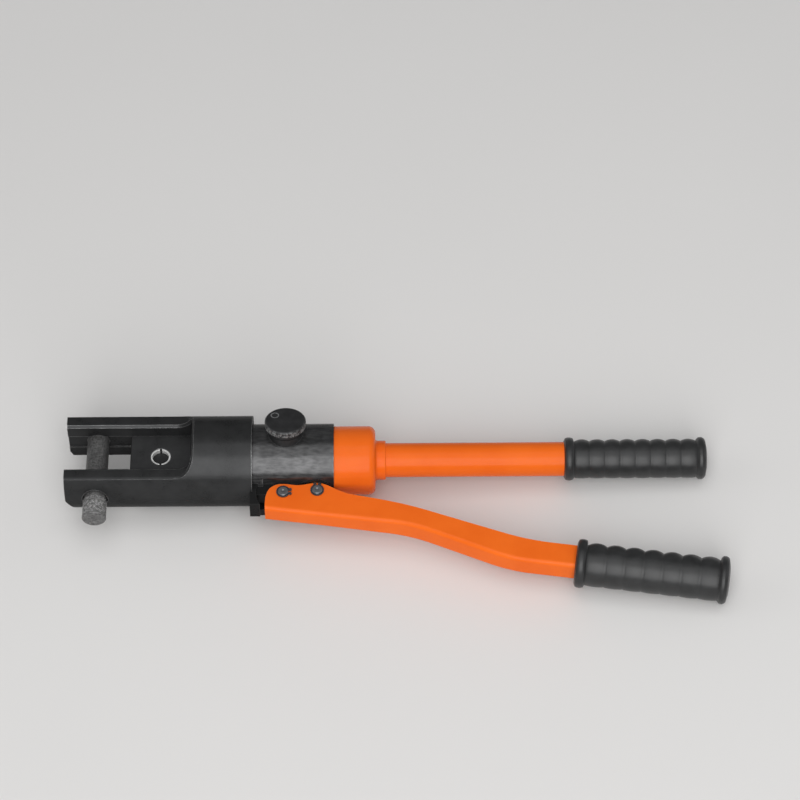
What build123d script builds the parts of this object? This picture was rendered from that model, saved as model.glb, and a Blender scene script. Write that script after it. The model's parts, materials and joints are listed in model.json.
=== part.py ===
from build123d import *

import os
from math import cos, radians, sin

# A hand hydraulic crimping tool: forked head, ram, pump body, swinging lever and a tube handle
# that is also the oil reservoir. Millimetres. X runs along the ram, from the latch pin towards
# the handles; Z is square to the plane that the lever swings in; the origin is the middle of the
# ram block's front face, with the ram drawn back.

# Forked head
head_radius = 34.3
arm_tip = -48.2
slot_end = 47.0
slot_half_width = 19.0
flat_height = 19.0
flat_stop = 48.0
flat_stop_radius = 13.5
guide_depth = 1.0
guide_half_height = 6.75
tip_bevel_corner = (-42.9, 29.7, -17.5)
tip_bevel_facing = (-1, 0.28, -0.456)
edge_break = 1.2
head_rear = 93.0
lock_screw_x = 86.0
lock_screw_base = -33.0
lock_screw_radius = 2.5

# Latch pin, across both arms
latch_x = -25.5
latch_radius = 8.35
latch_hole_radius = 8.4
latch_far_end = 32.5
latch_knob_radius = 9.15
latch_knob_start = -35.8
latch_knob_length = 17.0
latch_recess_radius = 9.75
latch_recess_depth = 3.0
latch_ring_y = -26.0
latch_ring_section = 0.75
latch_shank_radius = 5.0
latch_cross_pin_y = -44.8
latch_cross_pin_radius = 1.5
latch_cross_pin_half = 8.6

# Ram and cylinder
ram_stroke = 17.0
block_half_width = 19.75
block_half_height = 6.45
block_rear = 46.5
detent_x = 23.0
detent_ring_radius = 7.5
rod_radius = 13.0
rod_spigot_radius = 4.5
cylinder_radius = 23.0
cylinder_front = 60.2
cylinder_bottom = 96.0
piston_front = cylinder_front + ram_stroke + 0.8
piston_rear = 95.5
bush_radius = 16.0
running_gap = 0.05
seal_groove_front = 84.0
seal_groove_length = 6.6
seal_groove_depth = 4.0
spring_bore_start = 56.0
spring_bore_radius = 7.6
spring_nose = 4.2

# Die detent, in the middle of the ram block
detent_ring_wall = 1.3
detent_ring_height = 3.8
detent_ring_base = block_half_height - 4.0
detent_slot_width = 1.1
detent_bore_radius = 3.05
detent_pocket_base = -1.5

# Pump body
body_radius = 28.0
body_rear = 154.3
spigot_rear = 168.0
lever_flat = -25.2
lever_flat_start = 101.0
fulcrum = (116.3, -34.7)
ear_radius = 10.4
ear_half_width = 5.4
lug_front = 93.4
lug_toe = 91.2
lug_face = -45.4
rib_face = -35.1
lug_half_width = 8.2
lug_sweep_radius = 20.4
foot_rear = 103.5
foot_face = -39.0
foot_top = -8.8
foot_bottom = -16.0

# Pump plunger and the pin that drives it
plunger_x = 140.0
plunger_radius = 5.0
plunger_inner_end = 6.0
drive_pin = (141.9, -33.4)
pin_radius = 4.0
pin_half_length = 10.3
eye_half_height = 7.4
eye_half_width = 9.6
eye_half_thickness = 4.9
gland_radius = 8.0
gland_face = -24.6
gland_inner = -16.6

# Release valve, leaning back from Z
release_x = 118.2
release_lean = 14.0
knob_radius = 15.5
knob_top = 40.3
knob_rim_base = 34.8
knob_base = 31.4
knob_grub_height = 33.1
release_boss_radius = 13.3
release_boss_top = 31.0
release_bush_radius = 8.0
release_bush_base = 19.0
release_seat = 9.35
release_stem_radius = 5.0
release_groove_base = 22.0
release_groove_length = 2.2
release_drain_height = 13.0

# Valves inside the pump body
valve_y = 9.5
relief_z = -13.0
passage_radius = 1.5
valve_ball_radius = 3.0
check_bore_radius = 3.5
relief_bore_radius = 4.0
check_wire_radius = 0.35
check_coil_radius = 2.4
outlet_plug_x = 96.2
outlet_spring_x = 99.5
outlet_ball_x = 109.4
inlet_spring_x = 147.5
inlet_ball_x = 154.0
inlet_seat_x = 156.7
relief_ball_x = 132.65
relief_spring_x = 136.3
relief_screw_x = 155.6

# Reservoir collar and handle tube
collar_radius = 26.0
collar_rear = 185.8
collar_round = 6.5
neck_radius = 14.9
neck_rear = 194.9
tube_radius = 13.0
tube_wall = 2.5
tube_front = 180.5
tube_rear = 431.8
bladder_end = 322.0

# Fixed grip
grip_front = 328.8
grip_rear = 437.3
grip_flange_radius = 15.7
grip_body_radius = 14.9
grip_groove_depth = 0.9
grip_lobes = 8

# Lever: a pressed channel whose web faces -Y, with its grip on a line leaning off the X axis
channel_wall = 2.5
channel_half_width = 8.2
channel_half_width_rear = 9.4
widening_start = 150.0
widening_end = 215.0
channel_half_depth = 9.3
fold_break = 1.5
core_gap = 0.12
grip_lean = 8.5
lever_grip_origin = (338.0, -95.2)
lever_tail_length = 104.0
lever_grip_front = -4.0
lever_grip_rear = 110.2
lever_grip_flange_radius = 18.0
lever_grip_body_radius = 16.3
lever_grip_groove_depth = 1.1
lever_grip_lobes = 7

os.makedirs("parts", exist_ok=True)

FROM_BASE = (Align.CENTER, Align.CENTER, Align.MIN)


def along_x(x, y=0.0, z=0.0):
    """A plane at a point, facing +X."""
    return Plane(origin=(x, y, z), x_dir=(0, 1, 0), z_dir=(1, 0, 0))


def along_y(x, y, z=0.0, facing=-1):
    """A plane at a point, facing -Y unless told otherwise."""
    return Plane(origin=(x, y, z), x_dir=(1, 0, 0), z_dir=(0, facing, 0))


def along_z(x, y, z, facing=1):
    """A plane at a point, facing +Z unless told otherwise."""
    return Plane(origin=(x, y, z), x_dir=(1, 0, 0), z_dir=(0, 0, facing))


def along_release(height):
    """A plane square to the release valve's leaning axis, at a height above the ram's axis."""
    facing = (0, sin(radians(release_lean)), cos(radians(release_lean)))
    middle = (release_x, height * facing[1], height * facing[2])
    return Plane(origin=middle, x_dir=(1, 0, 0), z_dir=facing)


def drill(plane, radius, depth):
    """Cut a round hole from a plane, along its normal, in the part being built."""
    with Locations(plane):
        Cylinder(radius, depth, align=FROM_BASE, mode=Mode.SUBTRACT)


def save(piece, label):
    """Label a finished piece and write its STEP file."""
    piece.part.label = label
    export_step(piece.part, f"parts/{label}.step")


def turned(outline, axis=Axis.X):
    """A body turned about an axis from a closed outline of (along, radius) points."""
    with BuildPart() as body:
        with BuildSketch():
            with BuildLine():
                Polyline(*outline, close=True)
            make_face()
        revolve(axis=axis)
    return body


def sleeve(plane, outer, inner, length):
    """A plain ring or rod standing on a plane: outer and inner radius, and length."""
    with BuildPart() as body:
        with BuildSketch(plane):
            Circle(outer)
            if inner:
                Circle(inner, mode=Mode.SUBTRACT)
        extrude(amount=length)
    return body


def ball(plane, radius):
    """A ball centred on a plane's origin."""
    with BuildPart() as body:
        with Locations(plane):
            Sphere(radius)
    return body


def o_ring(plane, radius, section):
    """A rubber ring lying in a plane: radius to the middle of its section, and section radius."""
    with BuildPart() as body:
        with Locations(plane):
            Torus(radius, section)
    return body


def coil(plane, radius, wire, turns, length):
    """A coil spring standing on a plane: radius to the wire's middle, and wire radius."""
    with BuildPart() as body:
        with BuildLine(plane) as centre:
            Helix(pitch=length / turns, height=length, radius=radius, direction=plane.z_dir)
        with BuildSketch(Plane(origin=centre.line @ 0, z_dir=centre.line % 0)):
            Circle(wire)
        sweep(path=centre.line, is_frenet=True)
    return body


# ---------------------------------------------------------------- forked head

with BuildPart() as head_yoke:
    with BuildSketch(along_x(arm_tip)):
        Circle(head_radius)
    extrude(amount=head_rear - arm_tip)
    # The flats milled on top and underneath stop in a rounded shoulder.
    with BuildSketch(Plane.XZ):
        with BuildLine():
            shoulder = flat_stop - flat_stop_radius
            above = head_radius + 5
            Line((arm_tip - 5, flat_height), (shoulder, flat_height))
            CenterArc((shoulder, flat_height + flat_stop_radius), flat_stop_radius, -90, 90)
            Line((flat_stop, flat_height + flat_stop_radius), (flat_stop, above))
            Polyline((flat_stop, above), (arm_tip - 5, above), (arm_tip - 5, flat_height))
        make_face()
        mirror(about=Plane.XZ)
    extrude(amount=above, both=True, mode=Mode.SUBTRACT)
    flat_edges = [
        edge
        for edge in head_yoke.edges().filter_by(GeomType.LINE).filter_by(Axis.X)
        if abs(abs(edge.center().Z) - flat_height) < 0.01
    ]
    chamfer(flat_edges, edge_break)
    # The slot that the dies and the ram block slide in, with its guide grooves.
    with BuildSketch():
        with Locations((slot_end, 0)):
            Rectangle(120, 2 * slot_half_width, align=(Align.MAX, Align.CENTER))
    extrude(amount=above, both=True, mode=Mode.SUBTRACT)
    with BuildSketch():
        with Locations((slot_end, 0)):
            guide_width = 2 * (slot_half_width + guide_depth)
            Rectangle(120, guide_width, align=(Align.MAX, Align.CENTER))
    extrude(amount=guide_half_height, both=True, mode=Mode.SUBTRACT)
    # Each arm's lower outer corner is bevelled at the tip.
    for side in (-1, 1):
        corner_x, corner_y, corner_z = tip_bevel_corner
        facing_x, facing_y, facing_z = tip_bevel_facing
        bevel = Plane(
            origin=(corner_x, side * corner_y, corner_z),
            z_dir=(facing_x, side * facing_y, facing_z),
        )
        with BuildSketch(bevel):
            Rectangle(60, 60)
        extrude(amount=20, mode=Mode.SUBTRACT)
    # The latch pin's bore and the recess that its knob sits over.
    drill(along_y(latch_x, above), latch_hole_radius, 2 * above)
    recess = -head_radius + latch_recess_depth
    drill(along_y(latch_x, recess), latch_recess_radius, 10)
    # The rod's bush, the socket for the pump body and the locking screw.
    drill(along_x(slot_end - 1), bush_radius, 20)
    drill(along_x(cylinder_front - 0.2), body_radius, 60)
    drill(along_z(lock_screw_x, 0, -above), lock_screw_radius, 12)
save(head_yoke, "head_yoke")

rod_wiper = sleeve(along_x(slot_end + 0.4), bush_radius, rod_radius + running_gap, 2.6)
save(rod_wiper, "rod_wiper")

guide_bush = sleeve(along_x(slot_end + 3), bush_radius, rod_radius + running_gap, 10)
save(guide_bush, "rod_guide_bush")

with BuildPart() as head_lock_screw:
    with BuildSketch(along_z(lock_screw_x, 0, lock_screw_base)):
        Circle(lock_screw_radius)
    extrude(amount=6.5)
    with BuildSketch(along_z(lock_screw_x, 0, lock_screw_base)):
        RegularPolygon(1.45, 6)
    extrude(amount=2.5, mode=Mode.SUBTRACT)
save(head_lock_screw, "head_lock_screw")

# ---------------------------------------------------------------- latch pin

with BuildPart() as latch_pin:
    with BuildSketch(along_y(latch_x, latch_far_end)):
        Circle(latch_radius)
    extrude(amount=latch_far_end - latch_knob_start)
    chamfer(latch_pin.faces().sort_by(Axis.Y)[-1].edges(), 1.5)
    # The shank that the knob is pressed on, and the groove of the friction ring.
    with BuildSketch(along_y(latch_x, latch_knob_start)):
        Circle(latch_shank_radius)
    extrude(amount=latch_knob_length - 2)
    groove_half = latch_ring_section + 0.55
    with BuildSketch(along_y(latch_x, latch_ring_y + groove_half)):
        Circle(latch_radius + 1)
        Circle(latch_radius - 2 * latch_ring_section - 0.1, mode=Mode.SUBTRACT)
    extrude(amount=2 * groove_half, mode=Mode.SUBTRACT)
    drill(along_z(latch_x, latch_cross_pin_y, -20), latch_cross_pin_radius, 40)
save(latch_pin, "latch_pin")

latch_ring = o_ring(
    along_y(latch_x, latch_ring_y), latch_radius - latch_ring_section, latch_ring_section
)
save(latch_ring, "latch_friction_ring")

with BuildPart() as latch_knob:
    with BuildSketch(along_y(latch_x, latch_knob_start)):
        Circle(latch_knob_radius)
    extrude(amount=latch_knob_length)
    chamfer(latch_knob.edges().filter_by(GeomType.CIRCLE), 1.0)
    with BuildSketch(along_y(latch_x, latch_knob_start - 3.6)):
        Circle(latch_knob_radius + 1)
        Circle(latch_knob_radius - 0.7, mode=Mode.SUBTRACT)
    extrude(amount=1.2, mode=Mode.SUBTRACT)
    drill(along_y(latch_x, latch_knob_start), latch_shank_radius, latch_knob_length - 2)
    drill(along_z(latch_x, latch_cross_pin_y, -20), latch_cross_pin_radius, 40)
save(latch_knob, "latch_knob")

cross_pin = sleeve(
    along_z(latch_x, latch_cross_pin_y, -latch_cross_pin_half),
    latch_cross_pin_radius,
    0.7,
    2 * latch_cross_pin_half,
)
save(cross_pin, "latch_knob_cross_pin")

# ---------------------------------------------------------------- ram

with BuildPart() as ram_piston:
    with BuildSketch():
        with BuildLine():
            Polyline(
                (block_rear - 14, 0),
                (block_rear - 14, rod_spigot_radius),
                (block_rear, rod_spigot_radius),
                (block_rear, rod_radius),
                (piston_front, rod_radius),
                (piston_front, cylinder_radius - running_gap),
                (piston_rear, cylinder_radius - running_gap),
                (piston_rear, 0),
                close=True,
            )
        make_face()
    revolve(axis=Axis.X)
    chamfer(ram_piston.faces().sort_by(Axis.X)[-1].edges(), 0.8)
    # The seal groove, and the bore that houses the return spring.
    with BuildSketch(along_x(seal_groove_front)):
        Circle(cylinder_radius + 1)
        Circle(cylinder_radius - seal_groove_depth, mode=Mode.SUBTRACT)
    extrude(amount=seal_groove_length, mode=Mode.SUBTRACT)
    drill(along_x(spring_bore_start), spring_bore_radius, 50)
save(ram_piston, "ram_piston")

seal_bore = cylinder_radius - seal_groove_depth
piston_seal = sleeve(along_x(seal_groove_front + 3.0), cylinder_radius, seal_bore, 3.5)
save(piston_seal, "piston_seal")

piston_backup = sleeve(along_x(seal_groove_front + 0.1), cylinder_radius - 0.02, seal_bore, 2.8)
save(piston_backup, "piston_backup_ring")

with BuildPart() as ram_block:
    with BuildSketch():
        Rectangle(block_rear, 2 * block_half_width, align=(Align.MIN, Align.CENTER))
    extrude(amount=block_half_height, both=True)
    chamfer(ram_block.faces().sort_by(Axis.X)[0].edges(), 0.8)
    drill(along_x(block_rear - 14.2), rod_spigot_radius, 20)
    drill(along_z(detent_x, 0, detent_pocket_base), detent_ring_radius, 20)
    drill(along_z(detent_x, 0, -20), detent_bore_radius, 40)
save(ram_block, "ram_block")

with BuildPart() as detent_ring:
    with BuildSketch(along_z(detent_x, 0, detent_ring_base)):
        Circle(detent_ring_radius)
        Circle(detent_ring_radius - detent_ring_wall, mode=Mode.SUBTRACT)
    extrude(amount=detent_ring_height)
    chamfer(detent_ring.faces().sort_by(Axis.Z)[-1].edges(), 0.35)
    with BuildSketch(along_z(detent_x, 0, detent_ring_base + 2.0)):
        Rectangle(detent_slot_width, 20)
    extrude(amount=5, mode=Mode.SUBTRACT)
save(detent_ring, "die_detent_ring")

with BuildPart() as detent_cap:
    with BuildSketch(along_z(detent_x, 0, detent_pocket_base + 0.1)):
        Circle(detent_ring_radius - 0.1)
    extrude(amount=detent_ring_base - detent_pocket_base - 0.2)
    drill(along_z(detent_x, 0, detent_pocket_base), detent_bore_radius, 2.4)
save(detent_cap, "die_detent_cap")

detent_ball = ball(along_z(detent_x, 0, -4.1), 3.0)
save(detent_ball, "die_detent_ball")

detent_spring = coil(along_z(detent_x, 0, -0.75), 2.2, 0.3, 2, 1.2)
save(detent_spring, "die_detent_spring")

anchor_disc = spring_bore_radius - 0.1
front_anchor = turned(
    [
        (spring_bore_start, 0),
        (spring_bore_start, anchor_disc),
        (spring_bore_start + 3, anchor_disc),
        (spring_bore_start + 3, spring_nose),
        (spring_bore_start + 10, spring_nose),
        (spring_bore_start + 10, 0),
    ]
)
save(front_anchor, "spring_anchor_front")

rear_anchor = turned(
    [
        (cylinder_bottom - 10, 0),
        (cylinder_bottom - 10, spring_nose),
        (cylinder_bottom - 3, spring_nose),
        (cylinder_bottom - 3, 6.5),
        (cylinder_bottom, 6.5),
        (cylinder_bottom, 4.0),
        (cylinder_bottom + 7, 4.0),
        (cylinder_bottom + 7, 0),
    ]
)
save(rear_anchor, "spring_anchor_rear")

return_spring = coil(along_x(60.2), 5.5, 1.1, 10, 31.5)
save(return_spring, "return_spring")

# ---------------------------------------------------------------- pump body

release_y = sin(radians(release_lean))
release_z = cos(radians(release_lean))

with BuildPart() as pump_body:
    with BuildSketch():
        with BuildLine():
            Polyline(
                (cylinder_bottom, 0),
                (cylinder_bottom, cylinder_radius),
                (cylinder_front, cylinder_radius),
                (cylinder_front, body_radius),
                (body_rear, body_radius),
                (body_rear, cylinder_radius),
                (spigot_rear, cylinder_radius),
                (spigot_rear, 0),
                close=True,
            )
        make_face()
    revolve(axis=Axis.X)
    # The flat under the lever.
    with BuildSketch():
        with Locations((lever_flat_start, lever_flat)):
            Rectangle(80, 10, align=(Align.MIN, Align.MAX))
    extrude(amount=body_radius, both=True, mode=Mode.SUBTRACT)
    # The lug: a thick block in front of the lever, and a round ear inside it for the fulcrum.
    with BuildSketch():
        with BuildLine():
            Polyline(
                (lug_toe, -head_radius - 0.6),
                (lug_front, -head_radius - 0.6),
                (lug_front, lever_flat + 2),
                (lever_flat_start, lever_flat + 2),
                (lever_flat_start + 4, lug_face),
                (lug_toe, lug_face),
                close=True,
            )
        make_face()
        with Locations(fulcrum):
            Circle(lug_sweep_radius, mode=Mode.SUBTRACT)
    extrude(amount=lug_half_width, both=True)
    with BuildSketch():
        with Locations(fulcrum):
            Circle(ear_radius)
        with Locations((fulcrum[0], lever_flat + 2)):
            Rectangle(2 * ear_radius, lever_flat + 2 - fulcrum[1], align=(Align.CENTER, Align.MAX))
            Rectangle(
                fulcrum[0] - lug_front, lever_flat + 2 - rib_face, align=(Align.MAX, Align.MAX)
            )
    extrude(amount=ear_half_width, both=True)
    drill(along_z(*fulcrum, -20), pin_radius, 40)
    # The foot reaches back beneath the lever's front end.
    with BuildSketch(along_z(0, 0, foot_bottom)):
        with BuildLine():
            Polyline(
                (lug_toe, -head_radius - 0.6),
                (lug_front, -head_radius - 0.6),
                (lug_front, lever_flat + 2),
                (foot_rear, lever_flat + 2),
                (foot_rear, foot_face),
                (lug_toe, foot_face),
                close=True,
            )
        make_face()
    extrude(amount=foot_top - foot_bottom)
    # The round boss under the release knob.
    with BuildSketch(along_release(release_bush_base)):
        Circle(release_boss_radius)
    extrude(amount=release_boss_top - release_bush_base)
    # The plunger's bore, its gland and its spot face.
    drill(along_y(plunger_x, gland_face), 11.5, 20)
    drill(along_y(plunger_x, gland_inner + 3.4), gland_radius, 30)
    drill(along_y(plunger_x, plunger_inner_end + 1.5), plunger_radius + running_gap, 60)
    drill(along_y(plunger_x, valve_y + 2.5), 3.0, 10)
    # The way to the cylinder, with its check valve, and the way from the reservoir.
    outlet_length = plunger_x - cylinder_bottom + 1
    drill(along_x(cylinder_bottom - 1, valve_y), passage_radius, outlet_length)
    drill(along_x(cylinder_bottom - 1, valve_y), check_bore_radius, 17)
    drill(along_x(plunger_x, valve_y), passage_radius, 30)
    drill(along_x(inlet_spring_x - 0.5, valve_y), check_bore_radius, 30)
    # The release valve's bore, the way to it from the cylinder and its drain.
    drill(along_release(release_bush_base), release_bush_radius, 20)
    drill(along_release(release_seat), 4.5, 20)
    gallery = release_seat - 1.75
    drill(along_release(gallery - 1), passage_radius, 10)
    feed = along_x(cylinder_bottom - 1, gallery * release_y, gallery * release_z)
    drill(feed, passage_radius, release_x - cylinder_bottom + 1)
    drain = (release_drain_height * release_y, release_drain_height * release_z)
    drill(along_x(release_x, *drain), passage_radius, 60)
    # The relief valve, in line with the ram.
    drill(along_x(cylinder_bottom - 1, 0, relief_z), passage_radius, 40)
    drill(along_x(relief_ball_x - 2.65, 0, relief_z), relief_bore_radius, 60)
    # Seats for the spring anchor, the collar's seal, the locking screw.
    drill(along_x(cylinder_bottom - 1), 4.0, 8.5)
    with BuildSketch(along_x(162.0)):
        Circle(cylinder_radius + 1)
        Circle(cylinder_radius - 2.0, mode=Mode.SUBTRACT)
    extrude(amount=2.4, mode=Mode.SUBTRACT)
    drill(along_z(lock_screw_x, 0, -40.0), lock_screw_radius, 13.6)
save(pump_body, "pump_body")

fulcrum_pin = sleeve(along_z(*fulcrum, -pin_half_length), pin_radius, 0, 2 * pin_half_length)
drive_pin_body = sleeve(along_z(*drive_pin, -pin_half_length), pin_radius, 0, 2 * pin_half_length)
clip_groove = channel_half_width + 0.25
clip_thickness = 1.0


def grooved_pin(blank):
    """A plain pin with a clip groove near each end and broken end edges."""
    with BuildPart() as pin:
        add(blank.part)
        middle = blank.part.center()
        chamfer(pin.faces().filter_by(Axis.Z).edges(), 0.5)
        for side in (-1, 1):
            start = along_z(middle.X, middle.Y, side * clip_groove, side)
            with BuildSketch(start):
                Circle(pin_radius + 1)
                Circle(pin_radius - 0.8, mode=Mode.SUBTRACT)
            extrude(amount=clip_thickness, mode=Mode.SUBTRACT)
    return pin


def retaining_clips(centre, opening):
    """Two spring clips, one at each end of a pin, their eared gap turned to an angle."""
    with BuildPart() as clips:
        for side in (-1, 1):
            with BuildSketch(along_z(*centre, side * (clip_groove + 0.03))):
                Circle(5.1)
                Circle(pin_radius - 0.8, mode=Mode.SUBTRACT)
                with Locations(Location((0, 0, 0), (0, 0, opening))):
                    with Locations((4, 0)):
                        Rectangle(8, 1.7, mode=Mode.SUBTRACT)
                    with Locations((5.3, 1.75), (5.3, -1.75)):
                        Circle(1.25)
                        Circle(0.5, mode=Mode.SUBTRACT)
            extrude(amount=side * (clip_thickness - 0.06))
    return clips


save(grooved_pin(fulcrum_pin), "fulcrum_pin")
save(retaining_clips(fulcrum, 0), "fulcrum_clips")
save(grooved_pin(drive_pin_body), "drive_pin")
save(retaining_clips(drive_pin, 90), "drive_pin_clips")

# ---------------------------------------------------------------- pump plunger

with BuildPart() as pump_plunger:
    with BuildSketch(along_y(plunger_x, plunger_inner_end)):
        Circle(plunger_radius)
    extrude(amount=plunger_inner_end - drive_pin[1])
    chamfer(pump_plunger.faces().sort_by(Axis.Y)[-1].edges(), 0.8)
    with BuildSketch():
        with Locations((plunger_x, drive_pin[1])):
            RectangleRounded(2 * eye_half_width, 2 * eye_half_height, 5)
    extrude(amount=eye_half_thickness, both=True)
    # The slot lets the drive pin swing in its arc while the plunger runs straight.
    with BuildSketch():
        with Locations((plunger_x, drive_pin[1])):
            SlotCenterToCenter(4.8, 2 * (pin_radius + 0.4))
    extrude(amount=10, both=True, mode=Mode.SUBTRACT)
save(pump_plunger, "pump_plunger")

plunger_bore = plunger_radius + running_gap
plunger_gland = sleeve(along_y(plunger_x, gland_inner), gland_radius, plunger_bore, 8.0)
save(plunger_gland, "plunger_gland")

plunger_seal = sleeve(along_y(plunger_x, gland_inner + 3.3), gland_radius, plunger_bore, 3.2)
save(plunger_seal, "plunger_seal")

# ---------------------------------------------------------------- valves inside the pump body


def hollow_screw(plane, outer, inner, length):
    """A headless screw with a hole through it and a driver slot across its face."""
    with BuildPart() as screw:
        add(sleeve(plane, outer, inner, length).part)
        with BuildSketch(plane.offset(length)):
            Rectangle(1.0, 2 * outer + 1)
        extrude(amount=-1.2, mode=Mode.SUBTRACT)
    return screw


outlet_ball = ball(along_x(outlet_ball_x, valve_y), valve_ball_radius)
save(outlet_ball, "outlet_ball")
outlet_spring = coil(
    along_x(outlet_spring_x, valve_y), check_coil_radius, check_wire_radius, 5, 6.7
)
save(outlet_spring, "outlet_spring")
outlet_plug = sleeve(along_x(outlet_plug_x, valve_y), check_bore_radius, 1.2, 2.8)
save(outlet_plug, "outlet_spring_retainer")

inlet_ball = ball(along_x(inlet_ball_x, valve_y), valve_ball_radius)
save(inlet_ball, "inlet_ball")
inlet_spring = coil(along_x(inlet_spring_x, valve_y), check_coil_radius, check_wire_radius, 3, 3.6)
save(inlet_spring, "inlet_spring")
inlet_seat = hollow_screw(along_x(inlet_seat_x, valve_y), check_bore_radius, 1.4, 10.0)
save(inlet_seat, "inlet_seat_screw")

relief_ball = ball(along_x(relief_ball_x, 0, relief_z), valve_ball_radius)
save(relief_ball, "relief_ball")
relief_spring = coil(along_x(relief_spring_x, 0, relief_z), 2.9, 0.6, 8, 18.4)
save(relief_spring, "relief_spring")
relief_screw = hollow_screw(along_x(relief_screw_x, 0, relief_z), relief_bore_radius, 1.2, 10.0)
save(relief_screw, "relief_adjusting_screw")

release_ball = ball(along_release(release_seat + 2.65), valve_ball_radius)
save(release_ball, "release_ball")

release_bush = sleeve(
    along_release(release_bush_base),
    release_bush_radius,
    release_stem_radius + running_gap,
    release_boss_top - release_bush_base - 0.4,
)
save(release_bush, "release_bush")

with BuildPart() as release_stem:
    with BuildSketch(along_release(release_seat + 5.7)):
        Circle(4.0)
    extrude(amount=release_bush_base - release_seat - 5.6)
    with BuildSketch(along_release(release_bush_base)):
        Circle(release_stem_radius)
    extrude(amount=knob_rim_base - release_bush_base + 2)
    with BuildSketch(along_release(release_groove_base)):
        Circle(release_stem_radius + 1)
        Circle(release_stem_radius - 1.3, mode=Mode.SUBTRACT)
    extrude(amount=release_groove_length, mode=Mode.SUBTRACT)
save(release_stem, "release_stem")

stem_seal = o_ring(
    along_release(release_groove_base + release_groove_length / 2), release_stem_radius - 0.65, 0.65
)
save(stem_seal, "release_stem_seal")

with BuildPart() as release_knob:
    with BuildSketch(along_release(knob_base)):
        Circle(knob_radius - 2.0)
    extrude(amount=knob_rim_base - knob_base)
    with BuildSketch(along_release(knob_rim_base)):
        Circle(knob_radius)
    extrude(amount=knob_top - knob_rim_base)
    chamfer(release_knob.faces().sort_by(Axis.Z)[-1].edges(), 0.8)
    drill(along_release(knob_base - 1), release_stem_radius, knob_rim_base - knob_base + 3)
    with Locations(along_release(knob_grub_height)):
        Cylinder(1.5, 20, rotation=(0, 90, 0), align=FROM_BASE, mode=Mode.SUBTRACT)
save(release_knob, "release_knob")

grub_start = along_release(knob_grub_height).origin + Vector(release_stem_radius, 0, 0)
grub_screw = sleeve(Plane(origin=grub_start, x_dir=(0, 1, 0), z_dir=(1, 0, 0)), 1.5, 0, 6.5)
save(grub_screw, "knob_grub_screw")

# ---------------------------------------------------------------- reservoir collar and handle tube

with BuildPart() as reservoir_collar:
    with BuildSketch():
        with BuildLine():
            Polyline(
                (body_rear, cylinder_radius),
                (body_rear, collar_radius),
                (collar_rear - collar_round, collar_radius),
            )
            CenterArc(
                (collar_rear - collar_round, collar_radius - collar_round), collar_round, 90, -90
            )
            Polyline(
                (collar_rear, collar_radius - collar_round),
                (collar_rear, neck_radius),
                (neck_rear - 0.8, neck_radius),
                (neck_rear, neck_radius - 0.8),
                (neck_rear, tube_radius),
                (tube_front, tube_radius),
                (tube_front, tube_radius - tube_wall),
                (176.5, tube_radius - tube_wall),
                (171.4, 17.5),
                (171.4, cylinder_radius),
                (body_rear, cylinder_radius),
            )
        make_face()
    revolve(axis=Axis.X)
save(reservoir_collar, "reservoir_collar")

collar_seal = o_ring(along_x(163.2), cylinder_radius - 1.0, 0.95)
save(collar_seal, "collar_seal")

reservoir_tube = sleeve(
    along_x(tube_front), tube_radius, tube_radius - tube_wall, tube_rear - tube_front
)
save(reservoir_tube, "reservoir_tube")

with BuildPart() as oil_bladder:
    with BuildSketch():
        with BuildLine():
            Polyline(
                (spigot_rear + 0.1, 15.5),
                (spigot_rear + 0.1, 22.5),
                (171.3, 22.5),
                (171.3, 17.2),
                (176.5, 10.1),
                (bladder_end, 10.1),
                (bladder_end, 0),
                (bladder_end - 1.5, 0),
                (bladder_end - 1.5, 8.7),
                (176.0, 8.7),
                close=True,
            )
        make_face()
    revolve(axis=Axis.X)
save(oil_bladder, "oil_bladder")

with BuildPart() as suction_strainer:
    with BuildSketch(along_x(spigot_rear + 0.05, valve_y)):
        Circle(4.2)
        Circle(3.2, mode=Mode.SUBTRACT)
    extrude(amount=1.4)
    with BuildSketch(along_x(spigot_rear + 1.05, valve_y)):
        Circle(4.2)
    extrude(amount=0.4)
save(suction_strainer, "suction_strainer")

tube_plug = turned(
    [
        (tube_rear - 12, 0),
        (tube_rear - 12, 9.8),
        (tube_rear - 11.3, tube_radius - tube_wall),
        (tube_rear - 0.2, tube_radius - tube_wall),
        (tube_rear - 0.2, 1.5),
        (tube_rear - 6, 1.5),
        (tube_rear - 6, 0),
    ]
)
save(tube_plug, "tube_end_plug")

# ---------------------------------------------------------------- grips


def grip_outline(front, rear, flange, body, groove, lobes, flange_length):
    """The side line of a ribbed grip, from its front flange to its rounded rear end."""
    first = front + flange_length
    pitch = (rear - flange_length - 1 - first) / lobes
    ThreePointArc((front, flange - 2.2), (front + 2.6, flange), (first, body - groove))
    for lobe in range(lobes):
        start = first + lobe * pitch
        ThreePointArc(
            (start, body - groove), (start + 0.5 * pitch, body), (start + pitch, body - groove)
        )
    last = rear - flange_length - 1
    ThreePointArc((last, body - groove), (last + 2.6, flange), (last + 5.5, flange - 0.4))
    ThreePointArc((last + 5.5, flange - 0.4), (rear - 1.2, flange - 3), (rear, body - 6))


with BuildPart() as fixed_grip:
    with BuildSketch():
        with BuildLine():
            grip_outline(
                grip_front,
                grip_rear,
                grip_flange_radius,
                grip_body_radius,
                grip_groove_depth,
                grip_lobes,
                7.9,
            )
            Polyline(
                (grip_rear, grip_body_radius - 6),
                (grip_rear, 0),
                (tube_rear + 0.1, 0),
                (tube_rear + 0.1, tube_radius),
                (grip_front, tube_radius),
                (grip_front, grip_flange_radius - 2.2),
            )
        make_face()
    revolve(axis=Axis.X)
save(fixed_grip, "fixed_grip")

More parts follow.
